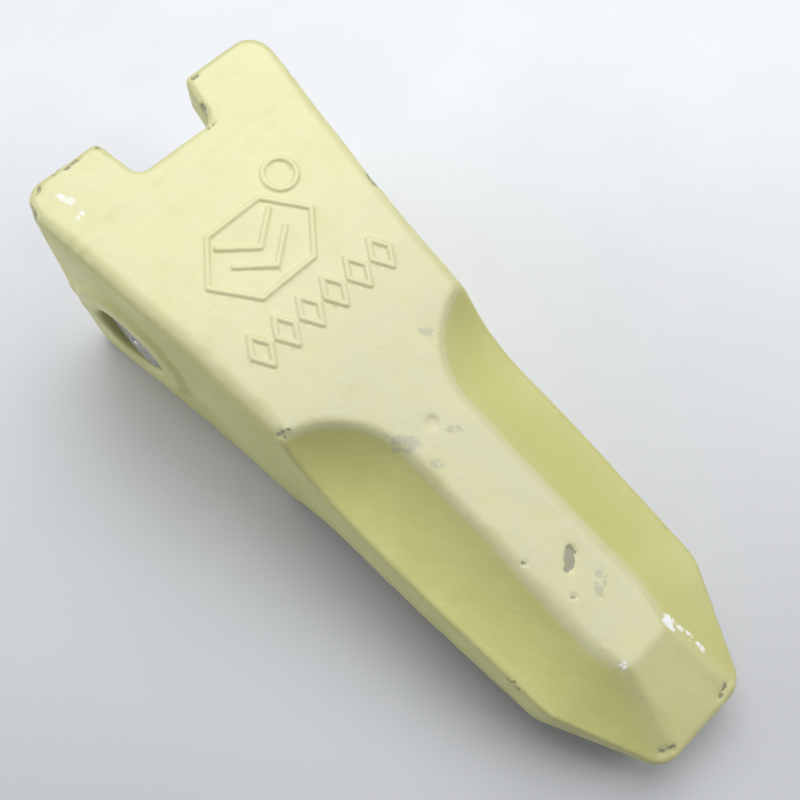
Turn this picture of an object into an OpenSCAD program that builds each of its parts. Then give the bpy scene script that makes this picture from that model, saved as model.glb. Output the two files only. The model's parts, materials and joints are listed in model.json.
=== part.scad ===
// Excavator bucket tooth: a cast rock-chisel point, the cross pin that fastens it to the adapter
// nose, and the spring lock ring that keeps the pin in. The point is the same above and below
// its middle plane, so it lies flat on its underside with the pin level.
// The shapes are drawn about the middle plane (+X to the tip, pin along Y) and then laid down.

/* [Point outline] */
// Length from the rear rim to the tip, along the middle plane
point_length = 178; // [177:0.5:179]
// Width across the side walls at the rear rim
rear_width = 70; // [69:0.5:71]
// Height over both faces at the rear rim
rear_height = 68.4; // [68:0.2:68.8]
// Slope of each face towards the middle plane, degrees
face_slope = 7.5; // [7.5:0.1:7.6]
// Draft of the side walls away from the parting line, degrees
wall_draft = 1.6; // [1.5:0.1:1.7]
// A station on the side walls, half way along the socket
mid_x = 48; // [48:0.5:49]
// Width at that station
mid_width = 59.4; // [59:0.2:59.4]
// Where the waist is reached
waist_x = 86; // [85.5:0.5:86]
// Width at the waist
waist_width = 53.8; // [53.6:0.2:53.8]
// Where the shoulders lie, at which the side walls turn in to the chisel edge
shoulder_x = 153; // [151:0.5:155]
// Width at the shoulders
shoulder_width = 47.8; // [47:0.2:48.6]
// Width of the chisel edge
tip_width = 24.4; // [23.6:0.2:25.2]
// Where the faces turn down to the chisel edge
crease_x = 157.5; // [156:0.5:159]
// Thickness of the chisel edge
tip_thickness = 5.4; // [5:0.2:6]
// Radius along the long outer edges
edge_radius = 3.5; // [3:0.5:3.5]
// Corner radius of the shoulders, in plan
shoulder_radius = 16; // [14:0.5:18]
// Corner radius of the chisel edge, in plan
tip_radius = 6.5; // [5:0.5:7.5]
// Corner radius of the rear ears, in plan
ear_radius = 6.5; // [5:0.5:8]

/* [Scallops] */
// Radius of the hollow on each side of the ribs
scallop_radius = 28; // [27:0.5:28]
// Depth of the hollows below the face, where they reach their full depth
scallop_depth = 10.1; // [10:0.1:10.2]
// Where that is
scallop_x = 99; // [98.5:0.5:99.5]
// Distance of the hollows' axes from the centre line, at that place
scallop_offset = 30; // [30:0.1:30.4]
// Slope of the hollows' axes towards the middle plane, degrees
scallop_slope = 2.6; // [2.4:0.1:2.8]
// Angle at which the hollows close in towards the tip, degrees
scallop_toe_in = 5.5; // [5.3:0.1:5.7]
// Length of the hollows' level stretch, before they dip to the chisel edge
scallop_run = 58; // [57:0.5:59]
// Angle of that dip, degrees
scallop_dip = 15; // [14:0.5:16]

/* [Adapter socket] */
// Depth of the socket for the adapter's nose
socket_depth = 84; // [76:0.5:88]
// Width of the socket's mouth
socket_width = 50; // [46:0.5:51]
// Height of the socket's mouth
socket_height = 49.6; // [46:0.2:51]
// Taper of the socket's side walls, degrees
socket_side_taper = 3.4; // [2:0.1:4.5]
// Taper of the socket's upper and lower walls, degrees
socket_face_taper = 10.2; // [9.5:0.1:10.6]
// Width of the chamfer along the socket's corners
socket_chamfer = 6; // [3:0.5:8]
// Depth of the notches in the rear rim
notch_depth = 11.7; // [9:0.1:13]
// Width of the notches at the rim
notch_mouth = 24.4; // [22:0.2:27]
// Width of the notches at their bottom
notch_floor = 20.4; // [18:0.2:21.8]
// Radius in the notches' inner corners
notch_radius = 2.2; // [1:0.1:3]
// Radius on the ears' inner corners
ear_inner_radius = 2.6; // [1:0.1:3]

/* [Pin and lock ring] */
// Distance of the pin's axis from the rear rim
pin_x = 26; // [25:0.5:28]
// Diameter of the cross holes
pin_hole_d = 20; // [18:0.1:21]
// Radial play between the pin and its holes
pin_play = 0.1; // [0.05:0.01:0.1]
// Length of the pin
pin_length = 64; // [62:0.5:66]
// Chamfer on the pin's ends
pin_chamfer = 1.6; // [0.5:0.1:2.2]
// Depth of the pin's groove
groove_depth = 1.5; // [1:0.1:2]
// Width of the lead-in at the mouth of the holes
lead_in = 1.6; // [0.5:0.1:2]
// Diameter of the raised bosses round the holes
boss_d = 34; // [33:0.5:36]
// Height of the bosses over the side walls
boss_rise = 0.6; // [0.6:0.1:1]
// Outer diameter of the lock ring
ring_d = 29; // [27:0.5:30]
// Thickness of the lock ring
ring_thickness = 4.6; // [4:0.1:5]
// Gap in the lock ring
ring_gap = 5; // [3:0.5:7]
// Diameter of the pocket that holds the lock ring
pocket_d = 32.6; // [31.5:0.1:33]
// Depth of the pocket
pocket_depth = 5.2; // [4.9:0.1:5.5]

/* [Cast relief] */
// Height of the plain relief over the upper face
relief_height = 0.5; // [0.3:0.1:0.8]
// Width of the relief's lines
relief_line = 1.2; // [0.8:0.1:1.6]
// Number of diamonds in the row
diamond_count = 6; // [3:1:6]

/* [Hidden] */
$fn = 96;
reach = 200;          // longer than the point, for prisms that cut right through
overrun = 12;         // how far a cutter runs past the face where it starts
boss_root = 6;        // how deep a boss is set into its wall
boss_bevel = 0.5;     // height of the bevel round a boss
boss_bevel_in = 1.5;  // how far that bevel draws in
relief_root = 1;      // how deep the relief is set into the face
half_height = rear_height / 2;
crease_half = half_height - crease_x * tan(face_slope);
pin_r = pin_hole_d / 2 - pin_play;
groove_r = pin_r - groove_depth;
ring_bore_r = groove_r + 0.05;
groove_side_gap = 0.3;
wall_at_pin = (rear_width + (mid_width - rear_width) * pin_x / mid_x) / 2;
wall_taper = atan2(rear_width - mid_width, 2 * mid_x);
boss_face = wall_at_pin + boss_rise;
socket_wall_at_pin = socket_width / 2 - pin_x * tan(socket_side_taper);
pocket_floor = socket_wall_at_pin + pocket_depth;
ring_centre = pocket_floor - groove_side_gap - ring_thickness / 2;

// The laid-down frame: the underside on Z = 0, the origin under the middle of the outline.
rest_shift_x = -(point_length * cos(face_slope) + tip_thickness / 2 * sin(face_slope)
    - half_height * sin(face_slope)) / 2;
rest_lift = half_height * cos(face_slope);

cast_paint = [0.86, 0.86, 0.62];
pin_steel = [0.55, 0.56, 0.57];
spring_steel = [0.28, 0.29, 0.31];

function unit_at(angle) = [cos(angle), sin(angle)];
// Centre of the arc that rounds corner p between two edges with outward normals at a1 and a2
function arc_centre(p, a1, a2, r) = p - r * (unit_at(a1) + unit_at(a2)) / (1 + cos(a1 - a2));

// What a rounded corner loses: the stretch outside the arc, between its two tangent points
module corner_waste(p, a1, a2, r) {
    side = 2 * r / cos((a1 - a2) / 2);
    ahead = 3 * r / cos((a1 - a2) / 2);
    translate(arc_centre(p, a1, a2, r))
        difference() {
            polygon([[0, 0], side * unit_at(a1), ahead * unit_at((a1 + a2) / 2),
                side * unit_at(a2)]);
            circle(r);
        }
}

// Does something to both sides of the centre line, or to both faces
module on_both_sides() {
    children();
    mirror([0, 1, 0]) children();
}
module on_both_faces() {
    children();
    mirror([0, 0, 1]) children();
}

// Turns the design from its middle plane onto its flat underside
module laid_down() {
    translate([rest_shift_x, 0, rest_lift]) rotate([0, face_slope, 0]) children();
}

// Outline seen from above, at the parting line
module plan_outline() {
    polygon([
        [0, -rear_width / 2], [mid_x, -mid_width / 2], [waist_x, -waist_width / 2],
        [shoulder_x, -shoulder_width / 2], [point_length, -tip_width / 2],
        [point_length, tip_width / 2], [shoulder_x, shoulder_width / 2],
        [waist_x, waist_width / 2], [mid_x, mid_width / 2], [0, rear_width / 2]
    ]);
}

// What the upright corners lose on the +Y side: shoulder, chisel edge and rear ear
module plan_corner_wastes() {
    flank = atan2(shoulder_width / 2 - tip_width / 2, point_length - shoulder_x);
    taper = atan2(waist_width / 2 - shoulder_width / 2, shoulder_x - waist_x);
    ear = atan2(rear_width / 2 - mid_width / 2, mid_x);
    linear_extrude(reach, center = true) {
        corner_waste([shoulder_x, shoulder_width / 2], 90 - taper, 90 - flank, shoulder_radius);
        corner_waste([point_length, tip_width / 2], 90 - flank, 0, tip_radius);
        corner_waste([0, rear_width / 2], 180, 90 - ear, ear_radius);
    }
}

// Outline seen from the side: two sloping faces, then the steeper bevels to the chisel edge
module side_outline() {
    polygon([
        [0, -half_height], [crease_x, -crease_half], [point_length, -tip_thickness / 2],
        [point_length, tip_thickness / 2], [crease_x, crease_half], [0, half_height]
    ]);
}

// The side walls lean inwards above and below the parting line
module drafted_blank() {
    intersection() {
        rotate([90, 0, 0]) linear_extrude(reach, center = true) side_outline();
        rotate([wall_draft, 0, 0]) linear_extrude(reach, center = true) plan_outline();
        rotate([-wall_draft, 0, 0]) linear_extrude(reach, center = true) plan_outline();
    }
}

// What the rounding takes off the upper +Y edge, where the side wall runs between two stations
module long_edge_waste(x1, y1, x2, y2) {
    turn = atan2(y1 - y2, x2 - x1);
    wall_normal = [sin(turn), cos(turn) * cos(wall_draft), cos(turn) * sin(wall_draft)];
    face_normal = [sin(face_slope), 0, cos(face_slope)];
    along = cross(wall_normal, face_normal);
    // The edge's own angles: down with the face first, then across it
    across = atan2(along[1], along[0] * cos(face_slope) - along[2] * sin(face_slope));
    lean = asin(wall_normal * face_normal);
    // Where the edge crosses the first station
    edge_z = half_height - x1 * tan(face_slope);
    edge_y = y1 / cos(wall_draft) - edge_z * tan(wall_draft);
    run = (x2 - x1) / along[0] * norm(along);
    translate([x1, edge_y, edge_z]) rotate([0, face_slope, 0]) rotate([0, 0, across])
        rotate([90, 0, 90]) translate([0, 0, -overrun])
            linear_extrude(run + 2 * overrun) corner_waste([0, 0], 90, lean, edge_radius);
}

// One hollow beside the upper rib: a round-ended trough that runs out over the shoulder and dips
module scallop() {
    floor_z = half_height - scallop_x * tan(face_slope) - scallop_depth / cos(face_slope);
    translate([scallop_x, scallop_offset, floor_z + scallop_radius])
        rotate([0, scallop_slope, 0]) rotate([0, 0, -scallop_toe_in]) {
            sphere(scallop_radius);
            rotate([0, 90, 0]) cylinder(h = scallop_run, r = scallop_radius);
            translate([scallop_run, 0, 0]) rotate([0, 90 + scallop_dip, 0])
                cylinder(h = reach, r = scallop_radius);
        }
}

// A wedge-shaped prism through the socket: half of its mouth, its taper and how it is turned
module socket_wedge(half_mouth, taper, turn) {
    tail = half_mouth - socket_depth * tan(taper);
    rear = half_mouth + overrun * tan(taper);
    rotate([turn, 0, 0]) linear_extrude(reach, center = true)
        polygon([[-overrun, -rear], [socket_depth, -tail], [socket_depth, tail],
            [-overrun, rear]]);
}

// The hollow for the adapter's nose, with its four corners chamfered
module adapter_socket() {
    mouth_w = socket_width / 2;
    mouth_h = socket_height / 2;
    diagonal = (mouth_w + mouth_h - socket_chamfer) / sqrt(2);
    diagonal_taper = atan((tan(socket_side_taper) + tan(socket_face_taper)) / sqrt(2));
    intersection() {
        socket_wedge(mouth_w, socket_side_taper, 0);
        socket_wedge(mouth_h, socket_face_taper, 90);
        socket_wedge(diagonal, diagonal_taper, 45);
        socket_wedge(diagonal, diagonal_taper, -45);
    }
}

// The notches that clear the adapter's ridges, cut through the upper and lower walls at once
module rim_notches() {
    flare = atan2((notch_mouth - notch_floor) / 2, notch_depth);
    mouth = notch_mouth / 2 + overrun * tan(flare);
    linear_extrude(reach, center = true) {
        difference() {
            polygon([[-overrun, -mouth], [notch_depth, -notch_floor / 2],
                [notch_depth, notch_floor / 2], [-overrun, mouth]]);
            for (flip = [0, 1]) mirror([0, flip])
                corner_waste([notch_depth, notch_floor / 2], 0, 90 - flare, notch_radius);
        }
        for (flip = [0, 1]) mirror([0, flip])
            corner_waste([0, notch_mouth / 2], 180, 270 - flare, ear_inner_radius);
    }
}

// The low round boss that thickens a side wall round its hole, square to that wall
module pin_boss() {
    translate([pin_x, wall_at_pin, 0]) rotate([0, 0, -wall_taper]) rotate([-90, 0, 0]) {
        translate([0, 0, -boss_root])
            cylinder(h = boss_root + boss_rise - boss_bevel, d = boss_d);
        translate([0, 0, boss_rise - boss_bevel])
            cylinder(h = boss_bevel, d1 = boss_d, d2 = boss_d - 2 * boss_bevel_in);
    }
}

// Cross hole, its lead-in cones, and the pocket for the lock ring inside the +Y wall
module pin_passage() {
    translate([pin_x, 0, 0]) rotate([-90, 0, 0]) {
        cylinder(h = reach, d = pin_hole_d, center = true);
        for (side = [-1, 1]) translate([0, 0, side * boss_face]) rotate([90 - side * 90, 0, 0])
            translate([0, 0, -lead_in])
                cylinder(h = 2 * lead_in, r1 = pin_hole_d / 2, r2 = pin_hole_d / 2 + 2 * lead_in);
        translate([0, 0, pocket_floor - overrun]) cylinder(h = overrun, d = pocket_d);
    }
}

// Distance of the line through p and q from the origin
function line_distance(p, q) = abs(cross(p, q)) / norm(q - p);

// A loop of relief line with straight sides; half is from its centre to its ends, along and across
module relief_loop(corners, half, turn) {
    points = [for (i = [0:corners - 1])
        let (a = turn + i * 360 / corners) [half[0] * cos(a), half[1] * sin(a)]];
    nearest = min([for (i = [0:corners - 1])
        line_distance(points[i], points[(i + 1) % corners])]);
    difference() {
        polygon(points);
        polygon(points * (1 - relief_line / nearest));
    }
}

// One arrowhead that points to the tip; half is its reach and half of its span
module relief_arrow(half) {
    back = relief_line * norm(half) / half[1];
    polygon([[0, -half[1]], [half[0], 0], [0, half[1]], [-back, half[1]],
        [half[0] - back, 0], [-back, -half[1]]]);
}

// Plain marks in relief: a small ring, a hexagon with two arrowheads, and a row of diamonds
module cast_relief() {
    mark_ring_r = 4.4;
    ring_at = [31.4, 13.2];
    hexagon_at = [42, -1.6];
    hexagon_half = [11.2, 15.4];
    arrow_half = [5.8, 7.4];
    arrow_backs = [-5, 0.6];
    diamond_row_at = [59.8, 0.3];
    diamond_half = [5, 3.1];
    pitch = 6.9;
    translate([0, 0, half_height]) rotate([0, face_slope, 0])
        translate([0, 0, -relief_root]) linear_extrude(relief_root + relief_height) {
            translate(ring_at) difference() {
                circle(mark_ring_r);
                circle(mark_ring_r - relief_line);
            }
            translate(hexagon_at) {
                relief_loop(6, hexagon_half, 90);
                for (back = arrow_backs) translate([back, 0]) relief_arrow(arrow_half);
            }
            translate(diamond_row_at) for (i = [0:diamond_count - 1])
                translate([0, (i - (diamond_count - 1) / 2) * pitch])
                    relief_loop(4, diamond_half, 0);
        }
}

module tooth_point() {
    color(cast_paint) laid_down() difference() {
        union() {
            difference() {
                drafted_blank();
                on_both_sides() plan_corner_wastes();
                on_both_faces() on_both_sides() {
                    long_edge_waste(0, rear_width / 2, mid_x, mid_width / 2);
                    long_edge_waste(mid_x, mid_width / 2, waist_x, waist_width / 2);
                    scallop();
                }
            }
            on_both_sides() pin_boss();
            cast_relief();
        }
        adapter_socket();
        rim_notches();
        pin_passage();
    }
}

module retaining_pin() {
    half = pin_length / 2;
    groove_near = ring_centre - ring_thickness / 2 - groove_side_gap;
    groove_far = ring_centre + ring_thickness / 2 + groove_side_gap;
    color(pin_steel) laid_down() translate([pin_x, 0, 0]) rotate([-90, 0, 0]) rotate_extrude()
        polygon([
            [0, -half], [pin_r - pin_chamfer, -half], [pin_r, -half + pin_chamfer],
            [pin_r, groove_near], [groove_r, groove_near], [groove_r, groove_far],
            [pin_r, groove_far], [pin_r, half - pin_chamfer], [pin_r - pin_chamfer, half],
            [0, half]
        ]);
}

module lock_ring() {
    bevel = 0.7;
    half = ring_thickness / 2;
    outer = ring_d / 2;
    color(spring_steel) laid_down() translate([pin_x, ring_centre, 0]) difference() {
        rotate([-90, 0, 0]) rotate_extrude()
            polygon([
                [ring_bore_r, -half], [outer - bevel, -half], [outer, -half + bevel],
                [outer, half - bevel], [outer - bevel, half], [ring_bore_r, half]
            ]);
        translate([-ring_gap / 2, -ring_thickness, 0]) cube([ring_gap, 2 * ring_thickness, ring_d]);
    }
}

tooth_point();
retaining_pin();
lock_ring();
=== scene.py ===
"""Looks of the excavator bucket tooth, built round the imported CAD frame.

The casting is a distance field in the design frame: millimetres, X from the rear rim to the tip,
Y across, Z up from the middle plane. The field is meshed, evened out, given its cast skin, and
laid down into the row frame. The pin and the lock ring are turned profiles. Every material is a
node tree.
"""

import json
import math

import bmesh
import bpy
import numpy as np
from mathutils import Matrix, Quaternion, Vector


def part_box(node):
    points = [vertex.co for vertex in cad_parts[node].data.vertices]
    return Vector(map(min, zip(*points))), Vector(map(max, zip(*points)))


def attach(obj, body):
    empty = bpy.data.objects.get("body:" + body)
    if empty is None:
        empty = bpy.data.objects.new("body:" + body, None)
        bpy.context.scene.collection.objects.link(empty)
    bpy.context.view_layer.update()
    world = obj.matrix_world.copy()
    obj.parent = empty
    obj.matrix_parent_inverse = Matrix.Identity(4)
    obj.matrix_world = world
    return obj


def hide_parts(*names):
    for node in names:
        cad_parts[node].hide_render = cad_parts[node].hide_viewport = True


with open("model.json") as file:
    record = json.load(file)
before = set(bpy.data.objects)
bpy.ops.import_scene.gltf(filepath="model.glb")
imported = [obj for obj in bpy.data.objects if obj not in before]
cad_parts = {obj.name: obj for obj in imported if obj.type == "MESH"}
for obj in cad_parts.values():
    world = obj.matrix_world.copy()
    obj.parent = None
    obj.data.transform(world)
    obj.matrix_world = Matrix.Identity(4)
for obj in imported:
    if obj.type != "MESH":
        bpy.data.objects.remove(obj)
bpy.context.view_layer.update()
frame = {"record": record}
mounts = {mount["name"]: mount for mount in frame["record"]["mounts"]}

# ---------------------------------------------------------------- sizes, in millimetres
MM = 0.001

POINT_LENGTH = 178.0
HALF_HEIGHT = 34.2
FACE_SLOPE = math.radians(7.5)
WALL_DRAFT = math.radians(1.6)
PLAN_STATIONS = (0.0, 48.0, 86.0, 116.0, 153.0)
PLAN_HALVES = (35.0, 29.7, 27.1, 26.3, 23.9)
PLAN_BLEND = 7.0
BLADE_RUN = PLAN_STATIONS[-1] - PLAN_STATIONS[-2]
BLADE_TAPER = math.atan((PLAN_HALVES[-2] - PLAN_HALVES[-1]) / BLADE_RUN)
SHOULDER_X = 153.0
CREASE_X = 157.5
SHOULDER_RADIUS = 16.0
TIP_HALF_WIDTH = 12.2
TIP_HALF_THICKNESS = 2.7
TIP_RADIUS = 6.5
EAR_RADIUS = 6.5
CREASE_RADIUS = 6.0
# How the radius along the long outer edges grows from the rim and tightens again at the tip
EDGE_STATIONS = (0.0, 5.0, 24.0, 60.0, 140.0, 160.0, 178.0)
EDGE_RADII = (1.1, 2.2, 3.4, 3.8, 2.6, 1.8, 1.2)

SCALLOP_START = (99.0, 30.0)
SCALLOP_RADIUS = 28.0
SCALLOP_DEPTH = 10.1
SCALLOP_SLOPE = math.radians(2.6)
SCALLOP_TOE_IN = math.radians(5.5)
SCALLOP_RUN = 58.0
SCALLOP_DIP = math.radians(15)
SCALLOP_BEND = 1.5
# The hollows' rims: at the upper and lower faces, and at the side walls
RIM_RADII = (2.2, 1.0)
RIM_TURNS = (math.radians(50), math.radians(88))
RIM_BLEND = 3.0
# The share of that radius which the rims lose at the shoulders, and where they lose it
RIM_TIGHTENS = 0.7
RIM_TIGHTENS_AT = (SHOULDER_X - 8.0, SHOULDER_X + 5.0)

SOCKET_DEPTH = 84.0
SOCKET_HALVES = (25.0, 24.8)
SOCKET_TAPERS = (math.radians(3.4), math.radians(10.2))
SOCKET_CHAMFER = 6.0
SOCKET_EASE = 1.0
SOCKET_FILLET = 3.5
SOCKET_LIP = 1.2
NOTCH_DEPTH = 11.7
NOTCH_HALVES = (12.2, 10.2)
NOTCH_FILLET = 2.4
NOTCH_LIP = 1.6

HOLE_RADIUS = 10.0
HOLE_LIP = 1.7
BOSS_RADIUS = 16.5
BOSS_RISE = 0.6
BOSS_BLEND = 2.5
BOSS_EDGE = 1.2
POCKET_RADIUS = 16.3
POCKET_FLOOR = 28.655
POCKET_LIP = 0.6

# Plain relief on the upper face: places along the face from the rear rim, and across it
RELIEF_HEIGHT = 0.5
RELIEF_LINE = 1.2
RELIEF_FLANK = 0.55
RING_AT = (31.4, 13.2)
RING_RADIUS = 3.8
HEXAGON_AT = (42.0, -1.6)
HEXAGON_HALVES = (10.5, 14.7)
ARROW_STEPS = (-0.3, -5.8)
ARROW_REACH = (5.8, 7.4)
DIAMOND_ROW = (59.8, 0.3)
DIAMOND_PITCH = 6.9
DIAMOND_COUNT = 6
DIAMOND_HALVES = (4.1, 2.55)

# Cast skin
NET_PITCH = 1.1
FINE_NET_SPLITS = 2
FINE_NET_SHARPNESS = 0.26
SHARPNESS_REACH = 1.4
# Lengths and heights of the soft lumps, and how far from a bore they come in
WAVES = ((27.0, 0.05), (11.0, 0.03), (5.0, 0.012))
WAVES_PER_BAND = 9
SKIN_SEED = 7
BORE_MARGIN = (0.2, 3.0)
PARTING_HEIGHT = 0.22
PARTING_WIDTH = 0.9
PARTING_FROM_HOLE = (1.0, 4.0)
PARTING_FROM_SOCKET = (1.0, 3.0)
RIPPLE_PITCH = 3.4
RIPPLE_HEIGHT = 0.05
RIPPLE_SPAN = (11.0, 25.0)
RIPPLE_FADES = (3.0, 6.0)
RIPPLE_BEND = 0.35
RIPPLE_BEND_LENGTH = 9.0
RIPPLE_FLOOR = 20.0
# Fine dust with a painted sheen on it: depth below the upper face, where it thickens, and where it
# thins at the crease
DUST_AND_SHEEN_DEPTH = (0.3, 2.2)
DUST_AND_SHEEN_GROWS = (25.0, 75.0)
DUST_AND_SHEEN_THINS = (CREASE_X - 3.0, CREASE_X + 4.0)
DUST_AND_SHEEN_AT_REAR = 0.7
DUST_AND_SHEEN_LOST_AHEAD = 0.6
# How far from a hollow's own surface its painted shade fades out
HOLLOW_FADES = (0.3, 1.5)

# Marks on the upper face, as strokes from (along, across) to (along, across), and half their width
WEAR_MARKS = (
    ((5.2, -27.0), (8.2, -25.4), 1.0),
    ((10.8, -25.0), (12.2, -26.2), 0.8),
    ((158.2, 7.8), (159.8, 8.2), 1.5),
    ((160.6, 8.6), (164.4, 9.6), 0.8),
    ((157.2, -6.2), (157.9, -6.0), 0.8),
    ((166.4, 9.9), (168.2, 10.1), 0.6),
)
SMUDGES = (
    ((93.6, -8.8), (95.8, -6.8), 1.8),
    ((79.2, 12.0), (80.4, 13.0), 1.2),
    ((98.4, 1.0), (99.8, 2.8), 0.8),
    ((101.6, -6.6), (103.0, -5.0), 1.0),
    ((142.0, 3.6), (144.4, 1.0), 1.3),
)
CHIPS = (
    ((134.3, 2.3), (136.1, -0.3), 1.35),
    ((129.2, -7.0), (129.6, -6.6), 0.4),
    ((141.0, -4.2), (141.4, -3.8), 0.4),
    ((75.4, -25.8), (76.4, -25.2), 0.7),
    ((12.6, 8.6), (12.8, 10.2), 0.6),
    ((44.0, 28.8), (46.4, 28.5), 0.9),
    ((0.9, -13.6), (1.5, -12.9), 0.5),
    ((1.0, -17.8), (1.2, -21.4), 0.5),
    ((7.4, 11.2), (9.6, 11.0), 0.45),
    ((1.6, -28.6), (2.2, -29.6), 0.6),
    ((3.4, -32.4), (5.2, -33.0), 0.7),
    ((1.2, 13.8), (1.4, 15.4), 0.5),
    ((150.4, -23.0), (152.0, -22.4), 0.7),
    ((163.0, -18.2), (164.0, -17.6), 0.5),
    ((176.2, -11.0), (177.4, -8.6), 0.7),
    ((176.8, 9.6), (177.6, 6.4), 0.6),
)
MARK_FEATHER = 0.8
MARK_REACH = 4.0
PIT = ((95.0, -0.4), (95.2, -0.6), 1.3)
CHIP_DEPTH = 0.35
PIT_DEPTH = 0.5

# The pin and the ring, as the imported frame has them
pin_low, pin_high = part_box("retaining_pin")
ring_low, ring_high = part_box("lock_ring")
PIN_RADIUS = mounts["adapter_cross_pin"]["dims"]["r_mm"]
socket_mouth = Vector(mounts["adapter_socket"]["pos_m"])
pin_middle = Vector(mounts["adapter_cross_pin"]["pos_m"])
PIN_X = (pin_middle - socket_mouth).length / MM
PIN_HALF = (pin_high.y - pin_low.y) / 2 / MM
RING_CENTRE = (ring_low.y + ring_high.y) / 2 / MM
RING_HALF = (ring_high.y - ring_low.y) / 2 / MM
RING_OUTER = 14.5
RING_BORE = 8.45
RING_GAP = 5.0
RING_BEVEL = 0.7
GROOVE_RADIUS = 8.4
GROOVE_PLAY = 0.3
PIN_CHAMFER = 1.6
CENTRE_DRILL = (1.7, 2.4)
TURNED_EASE = {"pin": 0.4, "ring": 0.5}
TURNED_SEGMENTS = {"pin": 128, "ring": 120}
# A rounding in a turned profile takes at most one part in this of a side
EASE_SHARE = 2.2
PROFILE_SEAM = 0.01
WELD = 0.005

# ---------------------------------------------------------------- frames


def design_to_row():
    """The matrix, in millimetres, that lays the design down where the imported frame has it."""
    along = -Vector(mounts["adapter_socket"]["axis"])
    across = Vector((0, 1, 0))
    upward = along.cross(across)
    turned = Matrix((along, across, upward)).transposed().to_4x4()
    return Matrix.Translation(socket_mouth / MM) @ turned


ROW_FROM_DESIGN = design_to_row()


def laid_down(points):
    """Design points, an array of rows in millimetres, as row frame points in metres."""
    matrix = np.array(ROW_FROM_DESIGN)
    return (points @ matrix[:3, :3].T + matrix[:3, 3]) * MM


# ---------------------------------------------------------------- distance field of the casting


def round_max(a, b, radius, turn=math.pi / 2):
    """Where both solids are, with the edge between them rounded. turn is between their normals."""
    a_in, b_in, lean = a + radius, b + radius, np.cos(turn)
    on_arc = (a_in > lean * b_in) & (b_in > lean * a_in)
    square = (a_in * a_in + b_in * b_in - 2 * lean * a_in * b_in) / (1 - lean * lean)
    return np.where(on_arc, np.sqrt(np.maximum(square, 0.0)) - radius, np.maximum(a, b))


def round_min(a, b, radius, turn=math.pi / 2):
    """Either solid, with a fillet between them."""
    return -round_max(-a, -b, radius, turn)


def soft_max(a, b, blend):
    """Where both solids are, for two faces that meet at a low angle."""
    near = np.maximum(blend - np.abs(a - b), 0.0) / blend
    return np.maximum(a, b) + near * near * blend / 4


def carve(solid, cutter, radius, turn=math.pi / 2):
    """The solid without the cutter, with the edge between them rounded."""
    return round_max(solid, -cutter, radius, turn)


def smooth_step(value, low, high):
    t = np.clip((value - low) / (high - low), 0.0, 1.0)
    return t * t * (3 - 2 * t)


def soft_profile(x, stations, values, reach, samples=5):
    """A line through the stations with its corners eased over the reach."""
    offsets = np.linspace(-reach, reach, samples)
    return sum(np.interp(x + offset, stations, values) for offset in offsets) / samples


def side_walls(x, y, z):
    """The drafted walls, the shoulders, the chisel edge and the rear rim."""
    lean = np.abs(y) + np.abs(z) * math.tan(WALL_DRAFT)
    wall = (lean - soft_profile(x, PLAN_STATIONS, PLAN_HALVES, PLAN_BLEND)) * math.cos(WALL_DRAFT)
    flank_slope = (PLAN_HALVES[-1] - TIP_HALF_WIDTH) / (POINT_LENGTH - SHOULDER_X)
    flank = lean - TIP_HALF_WIDTH - (POINT_LENGTH - x) * flank_slope
    flank_turn = math.atan(flank_slope)
    flank = flank * math.cos(flank_turn)
    sides = round_max(wall, flank, SHOULDER_RADIUS, flank_turn - BLADE_TAPER)
    sides = round_max(sides, x - POINT_LENGTH, TIP_RADIUS, math.pi / 2 - flank_turn)
    return round_max(sides, -x, EAR_RADIUS)


def upper_and_lower_faces(x, z):
    """The two sloping faces and the steeper bevels to the chisel edge."""
    height = np.abs(z)
    face = (height - HALF_HEIGHT + x * math.tan(FACE_SLOPE)) * math.cos(FACE_SLOPE)
    crease = HALF_HEIGHT - CREASE_X * math.tan(FACE_SLOPE)
    bevel_slope = (crease - TIP_HALF_THICKNESS) / (POINT_LENGTH - CREASE_X)
    bevel_turn = math.atan(bevel_slope)
    bevel = (height - TIP_HALF_THICKNESS - (POINT_LENGTH - x) * bevel_slope) * math.cos(bevel_turn)
    return round_max(face, bevel, CREASE_RADIUS, bevel_turn - FACE_SLOPE)


def trough_heading(dip):
    """Which way a hollow runs, once it has dipped by an angle from its level stretch."""
    along, down = math.cos(dip) * math.cos(SCALLOP_TOE_IN), math.sin(dip)
    inward = math.cos(dip) * math.sin(SCALLOP_TOE_IN)
    cos_slope, sin_slope = math.cos(SCALLOP_SLOPE), math.sin(SCALLOP_SLOPE)
    return (along * cos_slope - down * sin_slope, -inward, -along * sin_slope - down * cos_slope)


def from_line(away, heading, length):
    """Distance from a straight line of some length, of points seen from where it starts."""
    run = np.clip(sum(part * step for part, step in zip(away, heading)), 0.0, length)
    return np.sqrt(sum((part - run * step) ** 2 for part, step in zip(away, heading)))


def scallops(x, y, z):
    """The four hollows: round-ended troughs that close in, run out over the shoulders and dip."""
    start_x, start_y = SCALLOP_START
    floor = HALF_HEIGHT - start_x * math.tan(FACE_SLOPE) - SCALLOP_DEPTH / math.cos(FACE_SLOPE)
    away = (x - start_x, np.abs(y) - start_y, np.abs(z) - floor - SCALLOP_RADIUS)
    level = trough_heading(0.0)
    past_bend = [part - SCALLOP_RUN * step for part, step in zip(away, level)]
    first = from_line(away, level, SCALLOP_RUN)
    second = from_line(past_bend, trough_heading(SCALLOP_DIP), POINT_LENGTH)
    return -soft_max(-first, -second, SCALLOP_BEND) - SCALLOP_RADIUS


def pin_bosses(x, y, z):
    """The low round bosses round the cross hole, square to the side walls."""
    around = np.hypot(x - PIN_X, z) - BOSS_RADIUS
    wall = np.interp(x, PLAN_STATIONS, PLAN_HALVES)
    return round_max(around, np.abs(y) - wall - BOSS_RISE, BOSS_EDGE)


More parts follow.
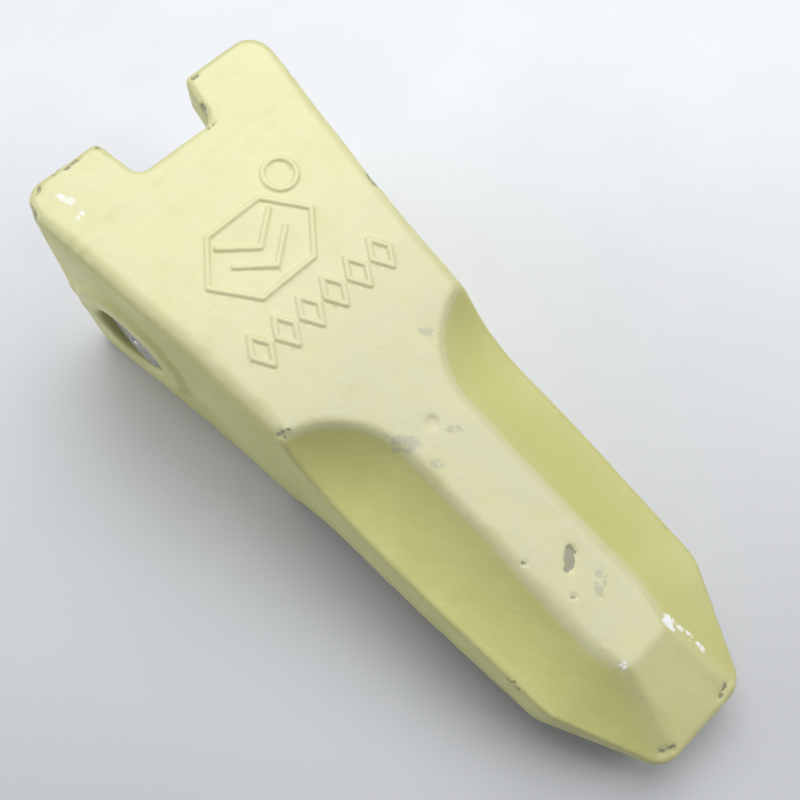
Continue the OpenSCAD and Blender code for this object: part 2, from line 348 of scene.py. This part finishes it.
def rim_notches(x, y):
    flare = (NOTCH_HALVES[0] - NOTCH_HALVES[1]) / NOTCH_DEPTH
    side = np.abs(y) - NOTCH_HALVES[0] + x * flare
    return round_max(side * math.cos(math.atan(flare)), x - NOTCH_DEPTH, NOTCH_FILLET)


def adapter_socket(x, y, z):
    """The tapering hollow for the adapter's nose, its corners chamfered and its end rounded."""
    slopes = [math.tan(taper) for taper in SOCKET_TAPERS]
    side = np.abs(y) - SOCKET_HALVES[0] + x * slopes[0]
    face = np.abs(z) - SOCKET_HALVES[1] + x * slopes[1]
    corner = (side + face + SOCKET_CHAMFER) / math.sqrt(2)
    side = side * math.cos(SOCKET_TAPERS[0])
    face = face * math.cos(SOCKET_TAPERS[1])
    hollow = soft_max(soft_max(side, face, SOCKET_EASE), corner, SOCKET_FILLET)
    return round_max(hollow, x - SOCKET_DEPTH, SOCKET_FILLET)


def pin_hole(x, z):
    return np.hypot(x - PIN_X, z) - HOLE_RADIUS


def ring_pocket(x, y, z):
    """The pocket for the lock ring, sunk into the +Y wall from the socket."""
    around = np.hypot(x - PIN_X, z) - POCKET_RADIUS
    return np.maximum(np.maximum(around, y - POCKET_FLOOR), -y)


def casting(points):
    """Distance from the casting's surface, negative inside it."""
    x, y, z = points[:, 0], points[:, 1], points[:, 2]
    edge = np.interp(x, EDGE_STATIONS, EDGE_RADII)
    faces, walls = upper_and_lower_faces(x, z), side_walls(x, y, z)
    solid = round_max(faces, walls, edge)
    beside = smooth_step(walls - faces, -RIM_BLEND, RIM_BLEND)
    rim_radius = RIM_RADII[0] + (RIM_RADII[1] - RIM_RADII[0]) * beside
    rim_radius = rim_radius * (1 - RIM_TIGHTENS * smooth_step(x, *RIM_TIGHTENS_AT))
    rim_turn = RIM_TURNS[0] + (RIM_TURNS[1] - RIM_TURNS[0]) * beside
    solid = carve(solid, scallops(x, y, z), rim_radius, rim_turn)
    solid = round_min(solid, pin_bosses(x, y, z), BOSS_BLEND)
    solid = carve(solid, rim_notches(x, y), NOTCH_LIP)
    solid = carve(solid, adapter_socket(x, y, z), SOCKET_LIP)
    solid = carve(solid, pin_hole(x, z), HOLE_LIP)
    return carve(solid, ring_pocket(x, y, z), POCKET_LIP)


# ---------------------------------------------------------------- from field to mesh


def gradient(field, points, step=0.05):
    """Which way the field grows at each point, by small steps along each axis."""
    steps = np.eye(3) * step
    rise = [field(points + offset) - field(points - offset) for offset in steps]
    return np.stack(rise, axis=1) / (2 * step)


def onto_surface(field, points, rounds=3, least_steepness=0.1):
    """Points drawn onto the surface, where the field is zero."""
    for _ in range(rounds):
        slope = gradient(field, points)
        steepness = np.maximum((slope * slope).sum(axis=1), least_steepness)
        points = points - slope * (field(points) / steepness)[:, None]
    return points


def surface_net(field, low, high, pitch):
    """Quads over the field's surface, with one vertex in each grid cell that it crosses."""
    axes = [np.arange(a, b + pitch, pitch) for a, b in zip(low, high)]
    grid = np.stack(np.meshgrid(*axes, indexing="ij"), axis=-1)
    inside = field(grid.reshape(-1, 3)).reshape(grid.shape[:3]) < 0
    ends = (slice(None, -1), slice(1, None))
    corners = sum(inside[i, j, k].astype(int) for i in ends for j in ends for k in ends)
    cells = np.argwhere((corners > 0) & (corners < 8))
    number = np.full(corners.shape, -1)
    number[tuple(cells.T)] = np.arange(len(cells))
    quads = []
    for axis in range(3):
        ahead = np.roll(inside, -1, axis=axis)
        crossing = np.argwhere(inside != ahead)
        second, third = np.eye(3, dtype=int)[(axis + 1) % 3], np.eye(3, dtype=int)[(axis + 2) % 3]
        ring = [crossing - second - third, crossing - third, crossing, crossing - second]
        quad = np.stack([number[tuple(cell.T)] for cell in ring], axis=1)
        outward = inside[tuple(crossing.T)]
        quads.append(np.where(outward[:, None], quad, quad[:, ::-1]))
    points = np.array(low) + (cells + 0.5) * pitch
    return points, np.vstack(quads)


def evened_out(field, points, quads, rounds):
    """The net with its vertices spread evenly over the surface."""
    ends = np.vstack([quads[:, [side, (side + 1) % 4]] for side in range(4)])
    ends = np.vstack([ends, ends[:, ::-1]])
    shares = np.bincount(ends[:, 0], minlength=len(points))
    for _ in range(rounds):
        pulled = [
            np.bincount(ends[:, 0], weights=points[ends[:, 1], axis], minlength=len(points))
            for axis in range(3)
        ]
        points = onto_surface(field, np.stack(pulled, axis=1) / shares[:, None], rounds=2)
    return points


def vertex_points(mesh):
    flat = np.empty(len(mesh.vertices) * 3)
    mesh.vertices.foreach_get("co", flat)
    return flat.reshape(-1, 3)


def set_vertex_points(mesh, points):
    mesh.vertices.foreach_set("co", points.astype(np.float32).ravel())
    mesh.update()


def split_faces(mesh, chosen):
    """Splits each face in four where chosen, asked about all the faces' centres, says so."""
    work = bmesh.new()
    work.from_mesh(mesh)
    centres = np.array([face.calc_center_median() for face in work.faces])
    edges = set()
    for face, wanted in zip(work.faces, chosen(centres)):
        if wanted:
            edges.update(face.edges)
    ordered = sorted(edges, key=lambda edge: edge.index)
    bmesh.ops.subdivide_edges(work, edges=ordered, cuts=1, use_grid_fill=True)
    work.to_mesh(mesh)
    work.free()


# ---------------------------------------------------------------- the cast skin


def on_face(points):
    """How far each point lies along the upper face from the rear rim, and across it."""
    return points[:, 0] / math.cos(FACE_SLOPE), points[:, 1]


def loop_points(centre, halves, corners, turn):
    """Corners of a relief loop, turn degrees round from the tip's direction."""
    angles = [math.radians(turn + 360 * i / corners) for i in range(corners)]
    return [
        (centre[0] + halves[0] * math.cos(a), centre[1] + halves[1] * math.sin(a)) for a in angles
    ]


def relief_strokes():
    """The straight strokes of the relief, as pairs of points on the face."""
    loops = [loop_points(HEXAGON_AT, HEXAGON_HALVES, corners=6, turn=90)]
    for i in range(DIAMOND_COUNT):
        across = DIAMOND_ROW[1] + (i - (DIAMOND_COUNT - 1) / 2) * DIAMOND_PITCH
        centre = (DIAMOND_ROW[0], across)
        loops.append(loop_points(centre, DIAMOND_HALVES, corners=4, turn=0))
    strokes = [(a, b) for loop in loops for a, b in zip(loop, loop[1:] + loop[:1])]
    for step in ARROW_STEPS:
        back = HEXAGON_AT[0] + step
        point = (back + ARROW_REACH[0], HEXAGON_AT[1])
        strokes += [(point, (back, HEXAGON_AT[1] + side * ARROW_REACH[1])) for side in (-1, 1)]
    return strokes


def stroke_distance(along, across, start, end):
    run, rise = end[0] - start[0], end[1] - start[1]
    share = ((along - start[0]) * run + (across - start[1]) * rise) / (run * run + rise * rise)
    share = np.clip(share, 0.0, 1.0)
    return np.hypot(along - start[0] - share * run, across - start[1] - share * rise)


def relief_distance(points):
    """Distance along the upper face from the middle of the nearest relief line."""
    along, across = on_face(points)
    nearest = np.abs(np.hypot(along - RING_AT[0], across - RING_AT[1]) - RING_RADIUS)
    for start, end in relief_strokes():
        nearest = np.minimum(nearest, stroke_distance(along, across, start, end))
    return np.where(points[:, 2] > 0, nearest, POINT_LENGTH)


def waviness(points):
    """Low, soft lumps of a sand casting, from a seeded bundle of waves at each size."""
    draw = np.random.default_rng(SKIN_SEED)
    height = np.zeros(len(points))
    for length, swing in WAVES:
        headings = draw.normal(size=(WAVES_PER_BAND, 3))
        headings /= np.linalg.norm(headings, axis=1, keepdims=True)
        phases = draw.uniform(0, 2 * math.pi, WAVES_PER_BAND)
        waves = np.sin(points @ headings.T * (2 * math.pi / length) + phases)
        height += waves.sum(axis=1) * swing / math.sqrt(WAVES_PER_BAND / 2)
    return height


def ripples(points):
    """Faint ripples across the upper face, ahead of the notch."""
    along, across = on_face(points)
    bend = RIPPLE_BEND * np.sin(across / RIPPLE_BEND_LENGTH)
    start, end = RIPPLE_SPAN
    span = smooth_step(along, start, start + RIPPLE_FADES[0])
    span = span * (1 - smooth_step(along, end - RIPPLE_FADES[1], end))
    wave = np.sin((along / RIPPLE_PITCH + bend) * 2 * math.pi)
    return np.where(points[:, 2] > RIPPLE_FLOOR, wave * span * RIPPLE_HEIGHT, 0.0)


def parting_line(points):
    """The low ridge that the mould's two halves leave round the middle plane."""
    fade = smooth_step(pin_hole(points[:, 0], points[:, 2]), *PARTING_FROM_HOLE)
    outside = smooth_step(adapter_socket(*points.T), *PARTING_FROM_SOCKET)
    ridge = np.exp(-((points[:, 2] / PARTING_WIDTH) ** 2))
    return PARTING_HEIGHT * ridge * fade * outside


def marked(points, marks):
    """How much of a point near the upper face is covered by the marks, from 0 to 1."""
    along, across = on_face(points)
    cover = np.zeros(len(points))
    for start, end, half_width in marks:
        away = stroke_distance(along, across, start, end)
        edge = 1 - smooth_step(away, half_width - MARK_FEATHER, half_width + MARK_FEATHER)
        cover = np.maximum(cover, edge)
    below = -upper_and_lower_faces(points[:, 0], points[:, 2])
    near = 1 - smooth_step(below, MARK_REACH / 2, MARK_REACH)
    return np.where(points[:, 2] > 0, cover * near, 0.0)


def skin_height(points):
    """How far the cast skin stands over the plain form. Fits stay as they are."""
    bore = np.minimum(pin_hole(points[:, 0], points[:, 2]), ring_pocket(*points.T))
    lumps = (waviness(points) + ripples(points)) * smooth_step(bore, *BORE_MARGIN)
    line, flank = RELIEF_LINE / 2, RELIEF_FLANK / 2
    relief = 1 - smooth_step(relief_distance(points), line - flank, line + flank)
    dents = CHIP_DEPTH * marked(points, CHIPS) + PIT_DEPTH * marked(points, (PIT,))
    return lumps + parting_line(points) + RELIEF_HEIGHT * relief - dents


# ---------------------------------------------------------------- the pieces


def new_piece(name, mesh, body, node):
    """A smooth-shaded piece that stands for a CAD node and rides on its body."""
    piece = bpy.data.objects.new(name, mesh)
    bpy.context.scene.collection.objects.link(piece)
    mesh.shade_smooth()
    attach(piece, body)
    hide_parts(node)


def mesh_of(name, points, faces):
    mesh = bpy.data.meshes.new(name)
    mesh.from_pydata(points.tolist(), [], [list(face) for face in faces])
    mesh.validate()
    return mesh


def paint_attribute(mesh, name, values):
    layer = mesh.attributes.new(name, "FLOAT", "POINT")
    layer.data.foreach_set("value", values.astype(np.float32))


def edge_sharpness(points):
    """Positive on outer edges and negative in hollows, as one over the radius."""
    reach = SHARPNESS_REACH
    around = sum(casting(points + reach * step) for step in np.vstack([np.eye(3), -np.eye(3)]))
    return around / (reach * reach)


def dust_and_sheen_film(points):
    """Where fine dust and a painted sheen lie: on the upper face and the rib's crest, less at the
    rear and the tip.
    """
    x, z = points[:, 0], points[:, 2]
    depth = -upper_and_lower_faces(x, z)
    on_top = np.where(z > 0, 1 - smooth_step(depth, *DUST_AND_SHEEN_DEPTH), 0.0)
    thicker = DUST_AND_SHEEN_AT_REAR + (1 - DUST_AND_SHEEN_AT_REAR) * smooth_step(x, *DUST_AND_SHEEN_GROWS)
    thinner = 1 - DUST_AND_SHEEN_LOST_AHEAD * smooth_step(x, *DUST_AND_SHEEN_THINS)
    return on_top * thicker * thinner


def needs_fine_net(points):
    dented = marked(points, CHIPS + (PIT,)) > 0
    return dented | (relief_distance(points) < RELIEF_LINE)


def needs_finer_edges(points):
    return np.abs(edge_sharpness(points)) > FINE_NET_SHARPNESS


def build_casting():
    margin = 2 * NET_PITCH
    low = (-margin, -PLAN_HALVES[0] - margin, -HALF_HEIGHT - margin)
    high = (POINT_LENGTH + margin, PLAN_HALVES[0] + margin, HALF_HEIGHT + margin)
    points, quads = surface_net(casting, low, high, NET_PITCH)
    points = evened_out(casting, onto_surface(casting, points), quads, rounds=4)
    mesh = mesh_of("tooth_casting", points, quads)
    split_faces(mesh, needs_finer_edges)
    for _ in range(FINE_NET_SPLITS):
        split_faces(mesh, needs_fine_net)
    points = onto_surface(casting, vertex_points(mesh))
    outward = gradient(casting, points)
    outward /= np.linalg.norm(outward, axis=1, keepdims=True)
    skin = points + outward * skin_height(points)[:, None]
    # The edge attribute drives painted shade along the sharp edges as well as the rubbed chips
    # there.
    paint_attribute(mesh, "edge", np.clip(edge_sharpness(points), -1, 1))
    # Fine dust plus a painted sheen: a whitening of the upward faces that stands in for their
    # reflection.
    paint_attribute(mesh, "dust_and_sheen", dust_and_sheen_film(points))
    # Painted shade in the hollows: this mask darkens their paint where shade falls.
    hollow_shade_mask = 1 - smooth_step(np.abs(scallops(*points.T)), *HOLLOW_FADES)
    paint_attribute(mesh, "hollow", hollow_shade_mask)
    paint_attribute(mesh, "wear", marked(points, WEAR_MARKS))
    paint_attribute(mesh, "smudge", marked(points, SMUDGES))
    paint_attribute(mesh, "chip", marked(points, CHIPS))
    set_vertex_points(mesh, laid_down(skin))
    mesh.materials.append(cast_paint_material())
    new_piece("tooth_casting", mesh, "point", "tooth_point")


def eased_profile(corners, radius, steps=4):
    """An open profile with its inner corners rounded, as (radius, place along the axis) pairs."""
    eased = [corners[0]]
    for before, corner, after in zip(corners, corners[1:], corners[2:]):
        spot = Vector(corner)
        to_before, to_after = Vector(before) - spot, Vector(after) - spot
        reach = min(radius, to_before.length / EASE_SHARE, to_after.length / EASE_SHARE)
        start = spot + to_before.normalized() * reach
        end = spot + to_after.normalized() * reach
        for i in range(steps + 1):
            t = i / steps
            eased.append(tuple(start * (1 - t) ** 2 + spot * 2 * t * (1 - t) + end * t * t))
    eased.append(corners[-1])
    return eased


def turned_mesh(name, profile, segments, gap=0.0, closed=False):
    """A profile turned about the pin's axis. A gap leaves it open at the top, with flat ends."""
    points = []
    for radius, along in profile:
        skip = math.asin(gap / 2 / radius) if gap else 0.0
        sweep = 2 * math.pi - 2 * skip
        for i in range(segments):
            angle = skip + sweep * (i / (segments - 1) if gap else i / segments)
            points.append((PIN_X + radius * math.sin(angle), along, radius * math.cos(angle)))
    rows, faces = len(profile), []
    for row in range(rows if closed else rows - 1):
        here, there = row * segments, (row + 1) % rows * segments
        for i in range(segments - 1 if gap else segments):
            j = (i + 1) % segments
            faces.append((here + i, here + j, there + j, there + i))
    if gap:
        faces.append([row * segments for row in range(rows)])
        faces.append([row * segments + segments - 1 for row in reversed(range(rows))])
    mesh = bpy.data.meshes.new(name)
    mesh.from_pydata(laid_down(np.array(points)).tolist(), [], faces)
    work = bmesh.new()
    work.from_mesh(mesh)
    bmesh.ops.remove_doubles(work, verts=work.verts, dist=WELD * MM)
    bmesh.ops.recalc_face_normals(work, faces=work.faces)
    work.to_mesh(mesh)
    work.free()
    return mesh


def build_pin():
    groove = RING_HALF + GROOVE_PLAY
    drill_radius, drill_depth = CENTRE_DRILL
    corners = [
        (0.0, drill_depth - PIN_HALF),
        (drill_radius, -PIN_HALF),
        (PIN_RADIUS - PIN_CHAMFER, -PIN_HALF),
        (PIN_RADIUS, PIN_CHAMFER - PIN_HALF),
        (PIN_RADIUS, RING_CENTRE - groove),
        (GROOVE_RADIUS, RING_CENTRE - groove),
        (GROOVE_RADIUS, RING_CENTRE + groove),
        (PIN_RADIUS, RING_CENTRE + groove),
        (PIN_RADIUS, PIN_HALF - PIN_CHAMFER),
        (PIN_RADIUS - PIN_CHAMFER, PIN_HALF),
        (drill_radius, PIN_HALF),
        (0.0, PIN_HALF - drill_depth),
    ]
    profile = eased_profile(corners, TURNED_EASE["pin"])
    mesh = turned_mesh("pin", profile, TURNED_SEGMENTS["pin"])
    mesh.materials.append(pin_steel_material())
    new_piece("pin", mesh, "pin", "retaining_pin")


def build_ring():
    bevel = RING_BEVEL
    corners = [
        (RING_BORE, 0.0),
        (RING_BORE, RING_HALF - bevel / 2),
        (RING_BORE + bevel / 2, RING_HALF),
        (RING_OUTER - bevel, RING_HALF),
        (RING_OUTER, RING_HALF - bevel),
        (RING_OUTER, bevel - RING_HALF),
        (RING_OUTER - bevel, -RING_HALF),
        (RING_BORE + bevel / 2, -RING_HALF),
        (RING_BORE, bevel / 2 - RING_HALF),
        (RING_BORE, -PROFILE_SEAM),
    ]
    eased = eased_profile(corners, TURNED_EASE["ring"])
    profile = [(radius, RING_CENTRE + along) for radius, along in eased]
    mesh = turned_mesh("ring", profile, TURNED_SEGMENTS["ring"], gap=RING_GAP, closed=True)
    mesh.materials.append(spring_steel_material())
    new_piece("ring", mesh, "ring", "lock_ring")


# ---------------------------------------------------------------- materials


def add(tree, kind, inputs=None, **settings):
    """A new node with its settings, and its sockets set to values or linked to other sockets."""
    made = tree.nodes.new("ShaderNode" + kind)
    for name, value in settings.items():
        setattr(made, name, value)
    for key, value in (inputs or {}).items():
        if isinstance(value, bpy.types.NodeSocket):
            tree.links.new(value, made.inputs[key])
        else:
            made.inputs[key].default_value = value
    return made


def noise(tree, vector, scale, detail=4.0, roughness=0.55):
    sockets = {"Vector": vector, "Scale": scale, "Detail": detail, "Roughness": roughness}
    return add(tree, "TexNoise", sockets).outputs["Fac"]


def ramp(tree, value, low, high, start=0.0, end=1.0):
    sockets = {"Value": value, "From Min": low, "From Max": high, "To Min": start, "To Max": end}
    return add(tree, "MapRange", sockets, interpolation_type="SMOOTHSTEP").outputs["Result"]


def maths(tree, operation, first, second):
    return add(tree, "Math", {0: first, 1: second}, operation=operation).outputs[0]


def blend_colour(tree, share, first, second):
    """first where share is 0, second where it is 1. A colour is three numbers or a socket."""
    sockets = {"Factor": share}
    made = add(tree, "Mix", sockets, data_type="RGBA")
    for key, value in ((6, first), (7, second)):
        if isinstance(value, bpy.types.NodeSocket):
            tree.links.new(value, made.inputs[key])
        else:
            made.inputs[key].default_value = (*value, 1.0)
    return made.outputs[2]


def new_material(name):
    """A material with its node tree, its shader and the piece's own coordinates."""
    material = bpy.data.materials.new(name)
    material.use_nodes = True
    tree = material.node_tree
    shader = tree.nodes["Principled BSDF"]
    where = add(tree, "TexCoord").outputs["Object"]
    return material, tree, shader, where


def bumped(tree, shader, height, distance, strength):
    sockets = {"Height": height, "Distance": distance, "Strength": strength}
    bump = add(tree, "Bump", sockets)
    tree.links.new(bump.outputs["Normal"], shader.inputs["Normal"])


def attribute(tree, name):
    return add(tree, "Attribute", attribute_name=name).outputs["Fac"]


# Noises, as scale, detail and roughness
BROAD_NOISE = (28.0, 3.0)
PATCHY_NOISE = (130.0, 5.0, 0.6)
GRAIN_NOISE = (650.0, 4.0, 0.6)
FINE_NOISE = (900.0, 3.0)
SOFT_NOISE = (260.0, 2.0)
# The paint and what lies on it. A ramp has where it starts and ends, and its values there
PAINT_TONES = ((0.54, 0.53, 0.195), (0.60, 0.585, 0.24))
PAINT_TONE_RAMP = (0.35, 0.65)
PAINT_ROUGHNESS_RAMP = (0.3, 0.7, 0.34, 0.46)
# Painted shade: darker, yellower paint colour in the hollows.
HOLLOW_SHADE_COLOUR = (0.47, 0.465, 0.175)
HOLLOW_SHADE_SHARE = 0.6
# Dust and painted sheen: pale tones that whiten the upper face.
DUST_AND_SHEEN_TONES = ((0.75, 0.735, 0.455), (0.60, 0.585, 0.37))
# Painted light falloff along the tooth: the dust and sheen tone turns paler towards the rear rim.
SHEEN_LIGHT_FALLOFF_RAMP = (-0.06, 0.0)
DUST_AND_SHEEN_PATCH_RAMP = (0.25, 0.6, 0.6, 1.0)
# Painted shade along the sharp edges, stronger along the rear rim.
EDGE_SHADE_COLOUR = (0.50, 0.49, 0.22)
EDGE_SHADE_RAMP = (0.1, 0.5)
REAR_EDGE_SHADE_RAMP = (-0.084, -0.074, 0.8, 0.35)
RAGGED_RAMP = (0.35, 0.6, 0.35, 1.3)
SMUDGE_COLOUR = (0.34, 0.34, 0.31)
SMUDGE_RAMP = (0.2, 1.0)
SMUDGE_SHARE = 0.5
RUBBED_EDGE_RAMP = (0.2, 0.55)
RUBBED_PATCH_RAMP = (0.55, 0.72)
CHIP_COLOUR = (0.16, 0.15, 0.13)
CHIP_RAMP = (0.45, 0.85)
CHIP_SHARE = 0.7
WEAR_COLOUR = (0.86, 0.87, 0.88)
WEAR_RAMP = (0.4, 0.95)
WEAR_GRAIN_RAMP = (0.4, 0.62, 0.45, 1.0)
SOFT_BUMP_SHARE = 2.0
CHIP_BUMP_SHARE = 1.5
# Bumps, as distance and strength
PAINT_BUMP = (0.0001, 0.6)
TURNED_BUMP = (0.00004, 0.5)
SPRING_BUMP = (0.00004, 0.4)
# The two steels
TURNED_STRETCH = (0.05, 1.0, 0.05)
TURNED_NOISE = (3500.0, 2.0)
OIL_NOISE = (180.0, 4.0)
SCALE_NOISE = (420.0, 5.0)
STEEL_TONE_RAMP = (0.4, 0.7)
STEEL_ROUGHNESS_RAMP = (0.35, 0.7)
PIN_TONES = ((0.46, 0.46, 0.46), (0.30, 0.29, 0.27))
PIN_ROUGHNESS = (0.24, 0.42)
SPRING_TONES = ((0.10, 0.10, 0.11), (0.20, 0.19, 0.18))
SPRING_ROUGHNESS = (0.32, 0.5)


def times(tree, first, second):
    return maths(tree, "MULTIPLY", first, second)


def broken(tree, cover, grain, low, high):
    """A cover from 0 to 1 with its outline broken up by a noise."""
    ragged = times(tree, cover, ramp(tree, grain, *RAGGED_RAMP))
    return ramp(tree, ragged, low, high)


def paint_with_dust_and_painted_light(tree, where, patchy):
    """The paint's colour with its dust and painted sheen, paler towards the rear as painted light
    falloff, darker, yellower painted shade in the hollows and painted shade along the sharp edges.
    """
    broad = noise(tree, where, *BROAD_NOISE)
    along = add(tree, "SeparateXYZ", {"Vector": where}).outputs["X"]
    colour = blend_colour(tree, ramp(tree, broad, *PAINT_TONE_RAMP), *PAINT_TONES)
    # Painted shade in the hollows.
    hollow = times(tree, attribute(tree, "hollow"), HOLLOW_SHADE_SHARE)
    colour = blend_colour(tree, hollow, colour, HOLLOW_SHADE_COLOUR)
    # Painted light falloff: paler towards the rear.
    dust_and_sheen_colour = blend_colour(tree, ramp(tree, along, *SHEEN_LIGHT_FALLOFF_RAMP), *DUST_AND_SHEEN_TONES)
    # Fine dust plus painted sheen, whitening the upper face and the rib's crest.
    dust_and_sheen = times(tree, attribute(tree, "dust_and_sheen"), ramp(tree, patchy, *DUST_AND_SHEEN_PATCH_RAMP))
    colour = blend_colour(tree, dust_and_sheen, colour, dust_and_sheen_colour)
    # Painted shade along the sharp edges, stronger at the rear rim.
    edge = ramp(tree, attribute(tree, "edge"), *EDGE_SHADE_RAMP)
    edge = times(tree, edge, ramp(tree, along, *REAR_EDGE_SHADE_RAMP))
    return blend_colour(tree, edge, colour, EDGE_SHADE_COLOUR)


def chipped_cover(tree, patchy, grain):
    """Where the paint is chipped: the placed chips, and patches along the sharp edges."""
    sharp = ramp(tree, attribute(tree, "edge"), *RUBBED_EDGE_RAMP)
    rubbed = times(tree, sharp, ramp(tree, patchy, *RUBBED_PATCH_RAMP))
    cover = maths(tree, "MAXIMUM", attribute(tree, "chip"), rubbed)
    return broken(tree, cover, grain, *CHIP_RAMP)


def cast_paint_material():
    material, tree, shader, where = new_material("cast_paint")
    patchy = noise(tree, where, *PATCHY_NOISE)
    grain = noise(tree, where, *GRAIN_NOISE)
    colour = paint_with_dust_and_painted_light(tree, where, patchy)
    smudge = broken(tree, attribute(tree, "smudge"), grain, *SMUDGE_RAMP)
    colour = blend_colour(tree, times(tree, smudge, SMUDGE_SHARE), colour, SMUDGE_COLOUR)
    chip = chipped_cover(tree, patchy, grain)
    colour = blend_colour(tree, times(tree, chip, CHIP_SHARE), colour, CHIP_COLOUR)
    wear = broken(tree, attribute(tree, "wear"), grain, *WEAR_RAMP)
    wear = times(tree, wear, ramp(tree, grain, *WEAR_GRAIN_RAMP))
    colour = blend_colour(tree, wear, colour, WEAR_COLOUR)
    tree.links.new(colour, shader.inputs["Base Color"])
    rough = ramp(tree, patchy, *PAINT_ROUGHNESS_RAMP)
    tree.links.new(rough, shader.inputs["Roughness"])
    soft = times(tree, noise(tree, where, *SOFT_NOISE), SOFT_BUMP_SHARE)
    height = maths(tree, "ADD", noise(tree, where, *FINE_NOISE), soft)
    height = maths(tree, "SUBTRACT", height, times(tree, chip, CHIP_BUMP_SHARE))
    bumped(tree, shader, height, *PAINT_BUMP)
    return material


def tint_steel(tree, shader, patches, tones, roughness):
    """Bare metal with two tones and two degrees of shine, in patches."""
    colour = blend_colour(tree, ramp(tree, patches, *STEEL_TONE_RAMP), *tones)
    rough = ramp(tree, patches, *STEEL_ROUGHNESS_RAMP, *roughness)
    tree.links.new(colour, shader.inputs["Base Color"])
    tree.links.new(rough, shader.inputs["Roughness"])
    shader.inputs["Metallic"].default_value = 1.0


def pin_steel_material():
    material, tree, shader, where = new_material("pin_steel")
    tint_steel(tree, shader, noise(tree, where, *OIL_NOISE), PIN_TONES, PIN_ROUGHNESS)
    stretched = add(tree, "Mapping", {"Vector": where, "Scale": TURNED_STRETCH}).outputs[0]
    bumped(tree, shader, noise(tree, stretched, *TURNED_NOISE), *TURNED_BUMP)
    return material


def spring_steel_material():
    material, tree, shader, where = new_material("spring_steel")
    scale = noise(tree, where, *SCALE_NOISE)
    tint_steel(tree, shader, scale, SPRING_TONES, SPRING_ROUGHNESS)
    bumped(tree, shader, scale, *SPRING_BUMP)
    return material


# ---------------------------------------------------------------- stage, lights and camera


# The floor, in metres
FLOOR_HALF = 3.0
FLOOR_Z = -0.3 * MM
# Painted light falloff: the floor is darker in front of the tooth and lighter behind it.
FLOOR_FALLOFF_TONES = ((0.48, 0.49, 0.522), (0.76, 0.775, 0.805))
FLOOR_FALLOFF_RAMP = (-0.20, 0.22)
FLOOR_CLOUD_COLOUR = (0.50, 0.51, 0.54)
FLOOR_CLOUD_NOISE = (22.0, 4.0, 0.6)
FLOOR_CLOUD_RAMP = (0.3, 0.7, 0.0, 0.12)
FLOOR_ROUGHNESS = 0.85


def floor_material():
    """Pale and faintly clouded, with painted light falloff: a little lighter behind the tooth than
    in front of it.
    """
    material, tree, shader, where = new_material("floor")
    split = add(tree, "SeparateXYZ", {"Vector": where}).outputs
    behind = maths(tree, "SUBTRACT", split["Y"], split["X"])
    # Painted light falloff across the floor.
    shade = blend_colour(tree, ramp(tree, behind, *FLOOR_FALLOFF_RAMP), *FLOOR_FALLOFF_TONES)
    cloudy = ramp(tree, noise(tree, where, *FLOOR_CLOUD_NOISE), *FLOOR_CLOUD_RAMP)
    shade = blend_colour(tree, cloudy, shade, FLOOR_CLOUD_COLOUR)
    tree.links.new(shade, shader.inputs["Base Color"])
    shader.inputs["Roughness"].default_value = FLOOR_ROUGHNESS
    return material


def build_floor():
    mesh = bpy.data.meshes.new("floor")
    around = ((-1, -1), (1, -1), (1, 1), (-1, 1))
    corners = [(FLOOR_HALF * side_x, FLOOR_HALF * side_y, FLOOR_Z) for side_x, side_y in around]
    mesh.from_pydata(corners, [], [(0, 1, 2, 3)])
    mesh.materials.append(floor_material())
    floor = bpy.data.objects.new("floor", mesh)
    bpy.context.scene.collection.objects.link(floor)


def aimed(thing, place, target):
    """Stands a lamp or camera at a place, looking at the target."""
    place, target = Vector(place), Vector(target)
    thing.location = place
    thing.rotation_mode = "QUATERNION"
    thing.rotation_quaternion = (target - place).to_track_quat("-Z", "Y")
    bpy.context.scene.collection.objects.link(thing)


# Each lamp's name, place and size in metres, power in watts, and colour
LAMPS = (
    ("key", (-0.14, 0.21, 0.62), (0.66, 0.60), 4.15, (1.0, 1.0, 1.0)),
    ("right", (0.35, 0.25, 0.40), (0.30, 0.30), 0.95, (1.0, 1.0, 0.98)),
    ("left", (-0.36, -0.42, 0.20), (0.50, 0.35), 1.45, (0.96, 0.98, 1.0)),
)
LAMPS_AIM = (0.0, 0.0, 0.02)
SKY_COLOUR = (0.95, 0.97, 1.0, 1.0)
SKY_STRENGTH = 0.20


def soft_lamp(name, place, size, power, colour):
    lamp = bpy.data.lights.new(name, "AREA")
    lamp.shape = "RECTANGLE"
    lamp.size, lamp.size_y = size
    lamp.energy = power
    lamp.color = colour
    aimed(bpy.data.objects.new(name, lamp), place, LAMPS_AIM)


def build_lights():
    for lamp in LAMPS:
        soft_lamp(*lamp)
    world = bpy.data.worlds.new("studio")
    world.use_nodes = True
    backdrop = world.node_tree.nodes["Background"]
    backdrop.inputs["Color"].default_value = SKY_COLOUR
    backdrop.inputs["Strength"].default_value = SKY_STRENGTH
    bpy.context.scene.world = world


# The camera's place and target in millimetres, and its focal length as a share of its sensor
CAMERA_AT = (75.65, -57.06, 233.02)
CAMERA_TARGET = (-7.55, 5.16, 20.0)
CAMERA_ROLL = math.radians(-7.6)
FOCAL_SHARE = 1.2336
SENSOR_WIDTH = 36.0
CLIP_START = 0.01


def build_camera():
    """A close camera above the tip on the -Y side, as the photograph was taken."""
    lens = bpy.data.cameras.new("camera")
    lens.sensor_width = SENSOR_WIDTH
    lens.lens = SENSOR_WIDTH * FOCAL_SHARE
    lens.clip_start = CLIP_START
    camera = bpy.data.objects.new("camera", lens)
    aimed(camera, Vector(CAMERA_AT) * MM, Vector(CAMERA_TARGET) * MM)
    camera.rotation_quaternion @= Quaternion((0, 0, 1), CAMERA_ROLL)
    bpy.context.scene.camera = camera


# ---------------------------------------------------------------- the scene

bpy.context.scene.view_settings.view_transform = "Standard"
build_camera()
build_lights()
build_floor()
build_casting()
build_pin()
build_ring()
